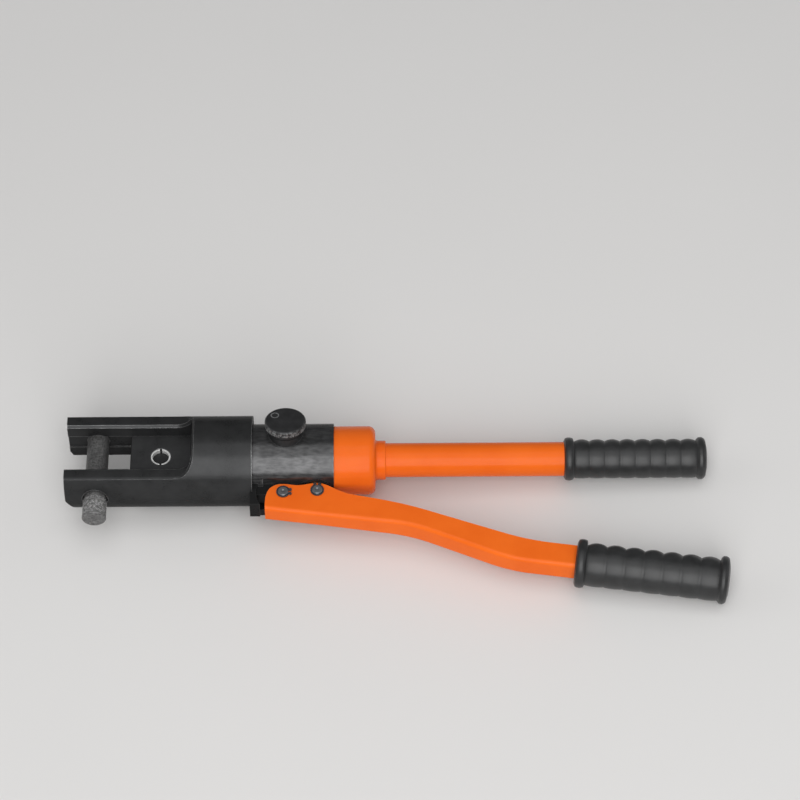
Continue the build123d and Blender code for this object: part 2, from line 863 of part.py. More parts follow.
lean = radians(grip_lean)
lever_grip_plane = Plane(
    origin=(*lever_grip_origin, 0), x_dir=(cos(lean), -sin(lean), 0), z_dir=(0, 0, 1)
)
lever_grip_axis = Axis((*lever_grip_origin, 0), (cos(lean), -sin(lean), 0))


def on_lever_grip(along, across):
    """The place of a point given along the lever grip's axis and across it, towards the tube."""
    return (
        lever_grip_origin[0] + along * cos(lean) + across * sin(lean),
        lever_grip_origin[1] - along * sin(lean) + across * cos(lean),
    )


with BuildPart() as lever_grip:
    with BuildSketch(lever_grip_plane):
        with BuildLine():
            grip_outline(
                lever_grip_front,
                lever_grip_rear,
                lever_grip_flange_radius,
                lever_grip_body_radius,
                lever_grip_groove_depth,
                lever_grip_lobes,
                8.1,
            )
            Polyline(
                (lever_grip_rear, lever_grip_body_radius - 6),
                (lever_grip_rear, 0),
                (lever_grip_front, 0),
                (lever_grip_front, lever_grip_flange_radius - 2.2),
            )
        make_face()
    revolve(axis=lever_grip_axis)
    with BuildSketch(lever_grip_plane):
        with Locations((lever_grip_front - 1, 0)):
            Rectangle(
                lever_tail_length - lever_grip_front + 1,
                2 * channel_half_depth,
                align=(Align.MIN, Align.CENTER),
            )
    extrude(amount=channel_half_width_rear, both=True, mode=Mode.SUBTRACT)
    # The rubber fills the channel too.
    with BuildSketch(lever_grip_plane):
        with Locations((lever_grip_front, channel_half_depth)):
            Rectangle(
                lever_tail_length - lever_grip_front,
                2 * channel_half_depth - channel_wall - core_gap,
                align=(Align.MIN, Align.MAX),
            )
    extrude(amount=channel_half_width_rear - channel_wall - core_gap, both=True)
save(lever_grip, "lever_grip")

# ---------------------------------------------------------------- lever

web_start = (102.7, -49.3)
web_points = [
    web_start,
    (212.0, -64.9),
    on_lever_grip(-52, -channel_half_depth),
    on_lever_grip(lever_tail_length, -channel_half_depth),
]
edge_points = [
    (165.0, -36.6),
    (205.0, -45.6),
    on_lever_grip(-41, channel_half_depth),
    on_lever_grip(lever_tail_length, channel_half_depth),
]
web_bend_radii = [120, 120]
edge_bend_radii = [350, 180]
web_rise = channel_wall + 0.1

with BuildLine() as web_line:
    FilletPolyline(*web_points, radius=web_bend_radii)


def on_fold(edge):
    """True for the long edges where the lever's web turns into its cheeks."""
    middle = edge @ 0.5
    beside_web = web_line.line.distance_to((middle.X, middle.Y, 0)) < 0.05
    return beside_web and abs(middle.Z) > channel_half_width - 0.01 and edge.length > 5


def channel_plan(narrowing):
    """The channel seen square to its web: it widens once, between the pivot and the grip."""
    near = channel_half_width - narrowing
    far = channel_half_width_rear - narrowing
    Polygon(
        (90, near),
        (widening_start, near),
        (widening_end, far),
        (480, far),
        (480, -far),
        (widening_end, -far),
        (widening_start, -near),
        (90, -near),
        align=None,
    )


with BuildPart() as lever_pocket:
    with BuildSketch():
        with BuildLine():
            FilletPolyline(*[(x, y + web_rise) for x, y in web_points], radius=web_bend_radii)
            end_x, end_y = web_points[-1]
            Polyline(
                (end_x, end_y + web_rise),
                (end_x + 20, end_y + web_rise),
                (end_x + 20, 0),
                (web_start[0] - 20, 0),
                (web_start[0] - 20, web_start[1] + web_rise),
                (web_start[0], web_start[1] + web_rise),
            )
        make_face()
    extrude(amount=30, both=True)
    with BuildSketch(Plane.XZ):
        channel_plan(channel_wall)
    extrude(amount=200, both=True, mode=Mode.INTERSECT)

with BuildPart() as lever:
    with BuildSketch():
        with BuildLine():
            add(web_line.line)
            Line(web_points[-1], edge_points[-1])
            FilletPolyline(*edge_points, radius=edge_bend_radii)
            Spline(
                edge_points[0],
                (157.0, -32.8),
                (148.0, -27.9),
                (140.5, -26.5),
                (128.0, -28.4),
                (117.0, -27.2),
                (111.5, -28.2),
                (106.6, -32.3),
                (103.4, -39.0),
                (102.7, -44.0),
            )
            Line((102.7, -44.0), web_start)
        make_face()
    extrude(amount=30, both=True)
    with BuildSketch(Plane.XZ):
        channel_plan(0)
    extrude(amount=200, both=True, mode=Mode.INTERSECT)
    chamfer(lever.edges().filter_by(on_fold), fold_break)
    add(lever_pocket.part, mode=Mode.SUBTRACT)
    drill(along_z(*fulcrum, -20), pin_radius + running_gap, 40)
    drill(along_z(*drive_pin, -20), pin_radius + 0.01, 40)
save(lever, "lever")
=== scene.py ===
import json
import math

import bmesh
import bpy
from mathutils import Matrix, Vector


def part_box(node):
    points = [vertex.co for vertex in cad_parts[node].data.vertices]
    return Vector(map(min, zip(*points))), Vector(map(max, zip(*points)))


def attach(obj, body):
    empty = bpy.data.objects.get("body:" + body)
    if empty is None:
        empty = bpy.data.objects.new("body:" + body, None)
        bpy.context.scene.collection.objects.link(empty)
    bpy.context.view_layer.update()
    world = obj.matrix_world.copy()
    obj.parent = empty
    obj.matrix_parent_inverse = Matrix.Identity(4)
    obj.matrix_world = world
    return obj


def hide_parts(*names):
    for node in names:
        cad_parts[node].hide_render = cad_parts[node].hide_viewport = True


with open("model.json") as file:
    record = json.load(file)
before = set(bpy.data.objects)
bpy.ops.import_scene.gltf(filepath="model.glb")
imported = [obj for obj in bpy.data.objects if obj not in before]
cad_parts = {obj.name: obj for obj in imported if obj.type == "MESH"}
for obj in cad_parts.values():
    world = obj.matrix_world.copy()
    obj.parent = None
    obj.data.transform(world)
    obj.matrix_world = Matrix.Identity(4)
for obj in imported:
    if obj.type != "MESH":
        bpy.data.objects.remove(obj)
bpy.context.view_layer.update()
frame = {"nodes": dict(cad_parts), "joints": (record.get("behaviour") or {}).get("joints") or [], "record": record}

# The looks of a hand hydraulic crimping tool. Sizes are in millimetres along the frame's own axes:
# X from the latch pin to the handles, Y away from the lever, Z towards the release knob.

MM = 0.001
NODES = frame["nodes"]
JOINTS = {joint["name"]: joint for joint in frame["joints"]}
SLOT_OF = {part["node"]: part["material_slot"] for part in frame["record"]["subparts"]}


def corners(node):
    """A node's lowest and highest corners, in mm."""
    low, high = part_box(node)
    return low / MM, high / MM


def joint_line(name):
    """The place, in mm, and the direction of a joint's axis."""
    joint = JOINTS[name]
    return Vector(joint["pos_m"]) / MM, Vector(joint["axis"]).normalized()


# ---------------------------------------------------------------- shapes


def new_object(name, data):
    """An object in the scene that holds this data."""
    item = bpy.data.objects.new(name, data)
    bpy.context.scene.collection.objects.link(item)
    return item


def place(origin, along, across=(0, 0, 1)):
    """The matrix of a spot whose Z runs along a direction and whose X is nearest to another."""
    z = Vector(along).normalized()
    across = Vector((1, 0, 0)) if abs(z.dot(Vector(across))) > 0.99 else Vector(across)
    x = across - across.dot(z) * z
    x.normalize()
    matrix = Matrix((x, z.cross(x), z)).transposed().to_4x4()
    matrix.translation = Vector(origin) * MM
    return matrix


def on_tube(x):
    """The matrix of a spot on the tube's axis, looking towards the handles."""
    return place((x, 0, 0), (1, 0, 0))


def rounded(points, radii, closed=False, step=math.radians(15)):
    """A flat polyline whose corners are swept by arcs. radii is one size, or one for each point."""
    count = len(points)
    sizes = list(radii) if isinstance(radii, (list, tuple)) else [radii] * count
    result = []
    for i, point in enumerate(points):
        corner = Vector(point)
        if not closed and i in (0, count - 1):
            result.append(corner)
            continue
        back = Vector(points[i - 1]) - corner
        ahead = Vector(points[(i + 1) % count]) - corner
        turn = math.pi - back.angle(ahead)
        if sizes[i] <= 0 or turn < 0.01:
            result.append(corner)
            continue
        reach = min(sizes[i] * math.tan(turn / 2), 0.48 * back.length, 0.48 * ahead.length)
        radius = reach / math.tan(turn / 2)
        middle = (back.normalized() + ahead.normalized()).normalized()
        centre = corner + middle * radius / math.cos(turn / 2)
        arm = corner + back.normalized() * reach - centre
        side = 1 if back.x * ahead.y - back.y * ahead.x < 0 else -1
        steps = max(1, math.ceil(turn / step))
        for k in range(steps + 1):
            angle = side * turn * k / steps
            cos, sin = math.cos(angle), math.sin(angle)
            result.append(centre + Vector((arm.x * cos - arm.y * sin, arm.x * sin + arm.y * cos)))
    return result


def settle(mesh, crease):
    """Face outwards, shade smoothly and keep edges sharper than the crease angle."""
    work = bmesh.new()
    work.from_mesh(mesh)
    bmesh.ops.recalc_face_normals(work, faces=work.faces)
    work.to_mesh(mesh)
    work.free()
    mesh.shade_smooth()
    mesh.set_sharp_from_angle(angle=math.radians(crease))


def finish_piece(piece, look, body, stands_for):
    """Give a piece its material, its body and the nodes that it stands for."""
    piece.data.materials.clear()
    piece.data.materials.append(look)
    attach(piece, body)
    if stands_for:
        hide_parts(*stands_for)


def solid(name, vertices, faces, where, wear=None, crease=40):
    """A mesh object from points in mm about a spot, with a wear share for each point."""
    mesh = bpy.data.meshes.new(name)
    mesh.from_pydata([where @ (Vector(v) * MM) for v in vertices], [], faces)
    if wear:
        attribute = mesh.attributes.new("wear", "FLOAT", "POINT")
        attribute.data.foreach_set("value", wear)
    settle(mesh, crease)
    return new_object(name, mesh)


def skinned(loops):
    """The faces that join loops of points in turn, with a cap on the first and on the last."""
    faces = []
    for low, high in zip(loops, loops[1:]):
        for k in range(len(low)):
            after = (k + 1) % len(low)
            faces.append((low[k], low[after], high[after], high[k]))
    return faces + [tuple(loops[0]), tuple(reversed(loops[-1]))]


def lathe(name, outline, where, sides=96, relief=None, crease=40):
    """Turn a line of (along, radius) points about a spot's Z. A line that doesn't start and end on
    the axis is closed into a ring. relief(angle, along) gives a change of radius and a wear."""
    vertices, wear, rings = [], [], []
    on_axis = 1e-6
    for along, radius in outline:
        if radius < on_axis:
            rings.append([len(vertices)] * sides)
            vertices.append((0, 0, along))
            wear.append(0.0)
            continue
        ring = []
        for k in range(sides):
            angle = 2 * math.pi * k / sides
            change, worn = relief(angle, along) if relief else (0.0, 0.0)
            ring.append(len(vertices))
            vertices.append(
                ((radius + change) * math.cos(angle), (radius + change) * math.sin(angle), along)
            )
            wear.append(worn)
        rings.append(ring)
    if outline[0][1] > on_axis:
        rings.append(rings[0])
    faces = []
    for low, high in zip(rings, rings[1:]):
        for k in range(sides):
            corner = (low[k], low[(k + 1) % sides], high[(k + 1) % sides], high[k])
            face = tuple(dict.fromkeys(corner))
            if len(face) > 2:
                faces.append(face)
    return solid(name, vertices, faces, where, wear if relief else None, crease)


def even_line(points, gap):
    """The same polyline with long stretches divided, no piece much longer than the gap."""
    result = [Vector(points[0])]
    for start, end in zip(points, points[1:]):
        start, end = Vector(start), Vector(end)
        count = max(1, math.ceil((end - start).length / gap))
        result += [start.lerp(end, (k + 1) / count) for k in range(count)]
    return result


def bake_modifiers(piece):
    """Replace a piece's mesh by what its modifiers make of it."""
    bpy.context.view_layer.update()
    graph = bpy.context.evaluated_depsgraph_get()
    mesh = bpy.data.meshes.new_from_object(piece.evaluated_get(graph), depsgraph=graph)
    piece.modifiers.clear()
    piece.data = mesh
    return piece


def soften(piece, width, angle=30, crease=50):
    """Round a piece's edges that turn by more than an angle, with smooth even shading."""
    bevel = piece.modifiers.new("edges", "BEVEL")
    bevel.width = width * MM
    bevel.segments = 2
    bevel.limit_method = "ANGLE"
    bevel.angle_limit = math.radians(angle)
    bevel.miter_outer = "MITER_ARC"
    bevel.use_clamp_overlap = True
    bevel.harden_normals = False
    bake_modifiers(piece)
    piece.data.shade_smooth()
    piece.data.set_sharp_from_angle(angle=math.radians(crease))
    normals = piece.modifiers.new("normals", "WEIGHTED_NORMAL")
    normals.keep_sharp = True
    normals.weight = 80
    return bake_modifiers(piece)


def softened_copy(node, name, width, wide=None, wide_width=0.0):
    """A new piece in a CAD node's shape. Its edges are rounded, the wide ones bevelled first."""
    weld, flat = 0.002 * MM, math.radians(0.5)
    mesh = NODES[node].data.copy()
    mesh.name = name
    work = bmesh.new()
    work.from_mesh(mesh)
    bmesh.ops.remove_doubles(work, verts=work.verts, dist=weld)
    bmesh.ops.dissolve_limit(work, angle_limit=flat, verts=work.verts, edges=work.edges)
    if wide:
        chosen = [edge for edge in work.edges if wide(edge)]
        bmesh.ops.bevel(
            work, geom=chosen, offset=wide_width * MM, offset_type="OFFSET", segments=1,
            affect="EDGES", clamp_overlap=False,
        )
    work.to_mesh(mesh)
    work.free()
    mesh.shade_smooth()
    return soften(new_object(name, mesh), width)


# ---------------------------------------------------------------- materials


class Look:
    """A procedural material: one Principled shader, and helpers that add nodes to it."""

    def __init__(self, name, **sockets):
        self.material = bpy.data.materials.new(name)
        self.material.use_nodes = True
        self.tree = self.material.node_tree
        self.shader = self.tree.nodes["Principled BSDF"]
        for socket, value in sockets.items():
            self.shader.inputs[socket.replace("_", " ")].default_value = value
        self.spot = self.add("ShaderNodeTexCoord").outputs["Object"]

    def add(self, kind, **settings):
        """A new node of a kind, with its settings."""
        node = self.tree.nodes.new(kind)
        for key, value in settings.items():
            setattr(node, key, value)
        return node

    def put(self, value, socket):
        """Link an output to a socket, or set the socket to a plain number or an opaque colour."""
        if isinstance(value, bpy.types.NodeSocket):
            self.tree.links.new(value, socket)
        else:
            socket.default_value = (*value, 1.0) if isinstance(value, tuple) else value

    def noise(self, size, detail=4.0, stretch=(1, 1, 1), roughness=0.55):
        """Noise whose grains are about a size in mm, drawn out along an axis by its stretch."""
        mapping = self.add("ShaderNodeMapping")
        mapping.inputs["Scale"].default_value = [1 / (size * MM * s) for s in stretch]
        self.put(self.spot, mapping.inputs["Vector"])
        noise = self.add("ShaderNodeTexNoise")
        noise.inputs["Scale"].default_value = 1.0
        noise.inputs["Detail"].default_value = detail
        noise.inputs["Roughness"].default_value = roughness
        self.put(mapping.outputs["Vector"], noise.inputs["Vector"])
        return noise.outputs["Fac"]

    def level(self, value, low, high, to_low=0.0, to_high=1.0):
        """Map a range of a value to another range."""
        node = self.add("ShaderNodeMapRange")
        self.put(value, node.inputs["Value"])
        for socket, number in zip(
            ("From Min", "From Max", "To Min", "To Max"), (low, high, to_low, to_high)
        ):
            node.inputs[socket].default_value = number
        return node.outputs["Result"]

    def maths(self, operation, a, b):
        """A sum, difference, product or maximum of two values. Only a product isn't clamped."""
        node = self.add("ShaderNodeMath", operation=operation)
        node.use_clamp = operation != "MULTIPLY"
        self.put(a, node.inputs[0])
        self.put(b, node.inputs[1])
        return node.outputs[0]

    def mix(self, share, a, b):
        """Mix two colours."""
        first_colour, second_colour, mixed_colour = 6, 7, 2
        node = self.add("ShaderNodeMix", data_type="RGBA")
        self.put(share, node.inputs["Factor"])
        self.put(a, node.inputs[first_colour])
        self.put(b, node.inputs[second_colour])
        return node.outputs[mixed_colour]

    def edges(self, radius, low=0.03, high=0.22):
        """A share that is 1 on sharp edges and 0 on open surfaces, broken up by noise."""
        bevel = self.add("ShaderNodeBevel", samples=6)
        bevel.inputs["Radius"].default_value = radius * MM
        geometry = self.add("ShaderNodeNewGeometry")
        dot = self.add("ShaderNodeVectorMath", operation="DOT_PRODUCT")
        self.put(bevel.outputs["Normal"], dot.inputs[0])
        self.put(geometry.outputs["Normal"], dot.inputs[1])
        bend = self.maths("SUBTRACT", 1.0, dot.outputs["Value"])
        patch = self.level(self.noise(6.0, 5.0), 0.3, 0.7, 0.35, 1.0)
        return self.maths("MULTIPLY", self.level(bend, low, high), patch)

    def worn(self):
        """The wear share that a mesh carries on its points."""
        return self.add("ShaderNodeAttribute", attribute_name="wear").outputs["Fac"]

    def colour(self, value):
        self.put(value, self.shader.inputs["Base Color"])

    def rough(self, value):
        self.put(value, self.shader.inputs["Roughness"])

    def metal(self, value):
        self.put(value, self.shader.inputs["Metallic"])

    def bump(self, *layers):
        """Stack bump layers, each a height with its strength and its depth in mm."""
        normal = None
        for height, strength, depth in layers:
            node = self.add("ShaderNodeBump")
            node.inputs["Strength"].default_value = strength
            node.inputs["Distance"].default_value = depth * MM
            self.put(height, node.inputs["Height"])
            if normal:
                self.put(normal, node.inputs["Normal"])
            normal = node.outputs["Normal"]
        self.put(normal, self.shader.inputs["Normal"])


def black_steel(name, base, rubbed=0.42):
    """Satin black over forged and milled steel, paler along its edges: partly rubbed wear, partly painted edge
    highlights.
    """
    look = Look(name, Specular_IOR_Level=0.12, Specular_Tint=(0.2, 0.2, 0.2, 1.0))
    grain = look.noise(0.9, 6.0)
    cloud = look.noise(14.0, 5.0)
    rub = look.edges(0.8, 0.015, 0.13)
    dark = tuple(0.88 * c for c in base)
    pale = tuple(1.14 * c for c in base)
    black = look.mix(look.level(cloud, 0.35, 0.65), dark, pale)
    # The rubbed grey paints the edges paler: partly bare steel rubbed through, partly painted highlights along the
    # edges.
    look.colour(look.mix(rub, black, (rubbed, rubbed, rubbed)))
    look.metal(look.level(rub, 0.0, 1.0, 0.52, 0.8))
    half_grain, half_cloud = look.maths("MULTIPLY", grain, 0.5), look.maths("MULTIPLY", cloud, 0.5)
    mixed = look.maths("ADD", half_grain, half_cloud)
    look.rough(look.level(mixed, 0.35, 0.65, 0.25, 0.35))
    look.bump((grain, 0.25, 0.06), (look.noise(0.25, 3.0), 0.12, 0.03))
    return look.material


def turned_steel():
    """Blackened steel with fine marks round the axis and a mottled bloom."""
    look = Look(
        "turned_dark_steel",
        Metallic=0.65, Specular_IOR_Level=0.35, Specular_Tint=(0.3, 0.3, 0.3, 1.0),
    )
    rings = look.noise(0.5, 4.0, stretch=(1, 30, 30))
    mottle = look.noise(2.4, 4.0, stretch=(2.6, 1, 1), roughness=0.6)
    cloud = look.noise(11.0, 4.0)
    rub = look.edges(0.7, 0.015, 0.13)
    body = look.mix(look.level(mottle, 0.35, 0.68), (0.048, 0.048, 0.049), (0.098, 0.098, 0.099))
    body = look.mix(look.level(cloud, 0.3, 0.75, 0.0, 0.4), body, (0.052, 0.052, 0.053))
    look.colour(look.mix(rub, body, (0.28, 0.28, 0.285)))
    look.rough(look.level(mottle, 0.3, 0.7, 0.16, 0.26))
    look.bump((rings, 0.10, 0.02), (mottle, 0.34, 0.12))
    return look.material


def phosphated_steel():
    """Rough grey phosphate with bright rubbed tips."""
    look = Look("phosphated_steel", Specular_IOR_Level=0.5)
    crystal = look.noise(1.3, 7.0, roughness=0.7)
    cloud = look.noise(5.0, 4.0)
    grit = look.level(look.noise(1.5, 2.0), 0.43, 0.57, 0.1, 1.0)
    bright = look.maths("MAXIMUM", look.maths("MULTIPLY", look.worn(), grit), look.edges(0.5))
    grey = look.mix(look.level(crystal, 0.34, 0.66), (0.022, 0.022, 0.022), (0.19, 0.188, 0.186))
    grey = look.mix(look.level(cloud, 0.35, 0.7, 0.0, 0.5), grey, (0.04, 0.04, 0.04))
    look.colour(look.mix(bright, grey, (0.78, 0.775, 0.77)))
    look.metal(look.level(bright, 0.0, 1.0, 0.3, 0.6))
    look.rough(look.level(crystal, 0.3, 0.7, 0.4, 0.6))
    look.bump((crystal, 0.8, 0.14))
    return look.material


def knob_black():
    """Matt black whose knurled rim is rubbed to bare metal."""
    look = Look("black_knob", Specular_IOR_Level=0.28)
    grain = look.noise(0.6, 6.0)
    cloud = look.noise(7.0, 4.0)
    patch = look.level(look.noise(1.8, 3.0), 0.38, 0.62)
    bright = look.maths("MULTIPLY", look.worn(), patch)
    black = look.mix(look.level(cloud, 0.35, 0.65), (0.0135, 0.0135, 0.014), (0.023, 0.023, 0.024))
    look.colour(look.mix(bright, black, (0.36, 0.36, 0.36)))
    look.metal(look.maths("MULTIPLY", bright, 0.7))
    look.rough(look.level(grain, 0.3, 0.7, 0.5, 0.66))
    look.bump((grain, 0.4, 0.08))
    return look.material


def orange_paint():
    """Orange powder paint: faint orange peel, paler along sharp edges and folds as a painted highlight."""
    look = Look("orange_paint", Specular_IOR_Level=0.10, Coat_Weight=0.03, Coat_Roughness=0.12)
    peel = look.noise(2.6, 2.0)
    fine = look.noise(0.35, 4.0)
    cloud = look.noise(35.0, 4.0)
    # The edge mask paints a paler orange along sharp edges and folds: painted highlight.
    edge = look.edges(0.9, 0.02, 0.16)
    base = look.mix(look.level(cloud, 0.35, 0.65), (0.80, 0.13, 0.011), (0.85, 0.15, 0.014))
    look.colour(look.mix(look.maths("MULTIPLY", edge, 0.5), base, (0.98, 0.34, 0.09)))
    look.rough(look.level(fine, 0.3, 0.7, 0.2, 0.28))
    look.bump((peel, 0.2, 0.10), (fine, 0.08, 0.02))
    return look.material


def grip_rubber():
    """Soft black rubber with a bloom and a fine moulded grain."""
    look = Look("grip_rubber", Specular_IOR_Level=0.44, Sheen_Weight=0.04, Sheen_Roughness=0.4)
    grain = look.noise(0.4, 5.0)
    bloom = look.noise(9.0, 5.0)
    dark, pale = (0.0125, 0.0128, 0.013), (0.0235, 0.024, 0.0245)
    look.colour(look.mix(look.level(bloom, 0.3, 0.7), dark, pale))
    look.rough(look.level(bloom, 0.3, 0.7, 0.33, 0.44))
    look.bump((grain, 0.22, 0.05), (look.noise(2.6, 3.0), 0.12, 0.12))
    return look.material


def plain_look(name, base, rough, metallic, grain=0.5, edge=None):
    """A small or hidden part's finish: base colour varied by noise, with a fine bump."""
    look = Look(name, Specular_IOR_Level=0.5)
    speck = look.noise(grain, 5.0)
    cloud = look.noise(grain * 9, 4.0)
    dark = tuple(0.75 * c for c in base)
    colour = look.mix(look.level(cloud, 0.3, 0.7), dark, base)
    # An edge colour paints the edges paler: partly wear, partly painted highlight on the pins' and clips' ends.
    if edge:
        colour = look.mix(look.edges(0.25), colour, edge)
    look.colour(colour)
    look.metal(metallic)
    look.rough(look.level(speck, 0.3, 0.7, 0.85 * rough, 1.15 * rough))
    look.bump((speck, 0.2, 0.03))
    return look.material


LOOKS = {
    "black_oxide_steel": black_steel("black_oxide_steel", (0.038, 0.0384, 0.039)),
    "milled_black_steel": black_steel("milled_black_steel", (0.054, 0.0545, 0.0555)),
    # A darker copy of the black steel with dull edges: painted shade on the pump body's lug, low between the head
    # and the lever.
    "shaded_lug_steel": black_steel("shaded_lug_steel", (0.024, 0.0242, 0.0245), 0.08),
    "turned_dark_steel": turned_steel(),
    "phosphated_steel": phosphated_steel(),
    "black_knob": knob_black(),
    "orange_paint": orange_paint(),
    "grip_rubber": grip_rubber(),
    "seal_rubber": plain_look("seal_rubber", (0.018, 0.018, 0.018), 0.5, 0.0),
    "backup_plastic": plain_look("backup_plastic", (0.82, 0.79, 0.72), 0.45, 0.0),
    "bronze": plain_look("bronze", (0.55, 0.36, 0.17), 0.32, 1.0),
    "zinc_steel": plain_look("zinc_steel", (0.62, 0.62, 0.63), 0.26, 1.0, 0.4),
    # The clips' pale edges: partly wear, partly painted highlight.
    "black_fasteners": plain_look(
        "black_fasteners", (0.10, 0.108, 0.125), 0.27, 0.8, 0.8, (0.66, 0.67, 0.68)
    ),
    "bright_ring_steel": plain_look("bright_ring_steel", (0.80, 0.80, 0.79), 0.34, 0.3, 0.4),
    # The pins' pale edges: partly wear, partly painted highlight.
    "worn_pin_steel": plain_look(
        "worn_pin_steel", (0.16, 0.165, 0.175), 0.36, 0.55, 1.1, (0.60, 0.61, 0.62)
    ),
    "ground_steel": plain_look("ground_steel", (0.42, 0.42, 0.43), 0.3, 1.0, 0.3),
    "spring_steel": plain_look("spring_steel", (0.30, 0.30, 0.31), 0.35, 1.0, 0.4),
    "brass_mesh": plain_look("brass_mesh", (0.62, 0.45, 0.20), 0.38, 1.0, 0.3),
    "plug_aluminium": plain_look("plug_aluminium", (0.62, 0.62, 0.64), 0.36, 1.0, 0.4),
}

for node, slot in SLOT_OF.items():
    NODES[node].data.materials.clear()
    NODES[node].data.materials.append(LOOKS[slot])


def dress(piece, body, node):
    """Finish a piece that stands for one node, in that node's material."""
    finish_piece(piece, LOOKS[SLOT_OF[node]], body, (node,))


# ---------------------------------------------------------------- head, ram and latch pin

FLAT_HEIGHT = 19.0
SLOT_HALF_WIDTH = 19.0


def slot_edge(edge):
    """True where the slot's walls meet the head's flats and shoulders."""
    near = 0.05 * MM
    return all(
        abs(abs(v.co.y) - SLOT_HALF_WIDTH * MM) < near and abs(v.co.z) > FLAT_HEIGHT * MM - near
        for v in edge.verts
    )


def slotted_ring():
    """The bright ring round the die detent: two half rings with a slit at each end."""
    low, high = corners("die_detent_ring")
    centre = (low + high) / 2
    outer = (high.x - low.x) / 2
    width, half_slit, top_edge, steps = 1.3, 0.85, 0.3, 40
    inner = outer - width
    section = rounded(
        [(inner, low.z), (outer, low.z), (outer, high.z), (inner, high.z)],
        [0, 0, top_edge, top_edge], closed=True, step=math.radians(30),
    )
    vertices, faces = [], []
    for side in (0, math.pi):
        loops = []
        for k in range(steps + 1):
            loop = []
            for radius, height in section:
                start = math.asin(half_slit / radius)
                angle = side - math.pi / 2 + start + (math.pi - 2 * start) * k / steps
                x = centre.x + radius * math.cos(angle)
                y = centre.y + radius * math.sin(angle)
                loop.append(len(vertices))
                vertices.append((x, y, height))
            loops.append(loop)
        faces += skinned(loops)
    ring = solid("die_detent_slotted_ring", vertices, faces, Matrix.Identity(4))
    finish_piece(ring, LOOKS["bright_ring_steel"], "ram", ("die_detent_ring",))


def latch_bar(high, knob_high, radius, where):
    """The latch's cross bar with chamfered ends, and the spigot that carries its knob."""
    length = high.y - knob_high.y
    nose, shoulder, spigot_radius, spigot_length = 1.5, 0.6, 5.0, 14.0
    outline = rounded(
        [
            (0, 0), (0, radius - nose), (nose, radius), (length - shoulder, radius),
            (length, radius - shoulder), (length, spigot_radius),
            (length + spigot_length, spigot_radius), (length + spigot_length, 0),
        ],
        0.5,
    )
    dress(lathe("latch_cross_bar", even_line(outline, 4.0), where), "latch_pin", "latch_pin")


def latch_knob(low, high, where):
    """The latch's knob: a plain rim, a groove, a crossed knurl and a dished end."""
    radius, length = (high.x - low.x) / 2, high.y - low.y
    crosses, knurl_depth, row = 34, 0.5, 0.27
    pitch = 2 * math.pi * radius / crosses
    rim_end, knurl_start, first_row, knurl_end = 2.2, 4.4, 4.5, length - 1.5
    skin, groove, dish = 0.1, 0.75, 0.8

    def knurl(angle, along):
        if not knurl_start < along < knurl_end:
            return 0.0, (1.0 if along < rim_end else 0.1)
        u = angle * crosses / (2 * math.pi)
        v = along / pitch
        first = abs((u + v) % 1.0 - 0.5) * 2
        second = abs((u - v) % 1.0 - 0.5) * 2
        height = min(first, second)
        return -knurl_depth * (1 - height), 0.05 + 0.95 * height

    outline = [
        (0.0, 0.0), (0, 5.0), (0, radius - 1.3), (1.2, radius - skin), (3.4, radius - skin),
        (3.7, radius - groove), (4.2, radius - groove), (first_row, radius - 0.05),
    ]
    rows = math.ceil((knurl_end - first_row) / row)
    outline += [
        (first_row + (knurl_end - first_row) * k / rows, radius) for k in range(1, rows + 1)
    ]
    outline += rounded(
        [
            (knurl_end, radius), (length - 0.9, radius - skin), (length, radius - 1.2),
            (length, 4.2), (length - dish, 3.2), (length - dish, 0),
        ],
        0.4,
    )[1:]
    knob = lathe("latch_knurled_knob", outline, where, crosses * 6, knurl, 60)
    dress(knob, "latch_pin", "latch_knob")


def latch_parts():
    """The latch's bar and knob, which pull out together along Y."""
    low, high = corners("latch_pin")
    knob_low, knob_high = corners("latch_knob")
    centre_x = (low.x + high.x) / 2
    inwards = (0, -1, 0)
    latch_bar(high, knob_high, (high.x - low.x) / 2, place((centre_x, high.y, 0), inwards))
    latch_knob(knob_low, knob_high, place((centre_x, knob_high.y, 0), inwards))


head = softened_copy("head_yoke", "forked_head", 0.45, wide=slot_edge, wide_width=1.7)
dress(head, "tool_body", "head_yoke")
slide = softened_copy("ram_block", "ram_slide_block", 0.35)
finish_piece(slide, LOOKS["milled_black_steel"], "ram", ("ram_block",))
# The detent's cap shows inside its bright ring, and is as black as the head.
NODES["die_detent_cap"].data.materials[0] = LOOKS["black_oxide_steel"]
slotted_ring()
latch_parts()

# ---------------------------------------------------------------- pump body and release knob


def pump_body():
    """The turned body with its lug. The boss under the release knob is painted as black as the knob: painted shade
    for the knob's contact shadow. The lug takes a darker black steel: painted shade.
    """
    piece = softened_copy("pump_body", "turned_pump_body", 0.5)
    dress(piece, "tool_body", "pump_body")
    boss_start, boss_reach, lug_top, lug_overlap = 20, 14, -28.3, 5
    knob_shade_look, shaded_lug_look = 1, 2
    piece.data.materials.append(LOOKS["black_knob"])
    piece.data.materials.append(LOOKS["shaded_lug_steel"])
    valve, axis = joint_line("release_turn")
    origin = Vector((valve.x, 0, 0))
    lug_front = corners("head_yoke")[1].x - lug_overlap
    for face in piece.data.polygons:
        spot = face.center / MM
        along = (spot - origin).dot(axis)
        aside = (spot - origin - axis * along).length
        # Painted shade: the faces under the release knob take the knob's black, for the knob's contact shadow.
        if along > boss_start and aside < boss_reach:
            face.material_index = knob_shade_look
        # Painted shade: the lug takes the darker, dull-edged black steel.
        elif spot.y < lug_top and spot.x > lug_front:
            face.material_index = shaded_lug_look


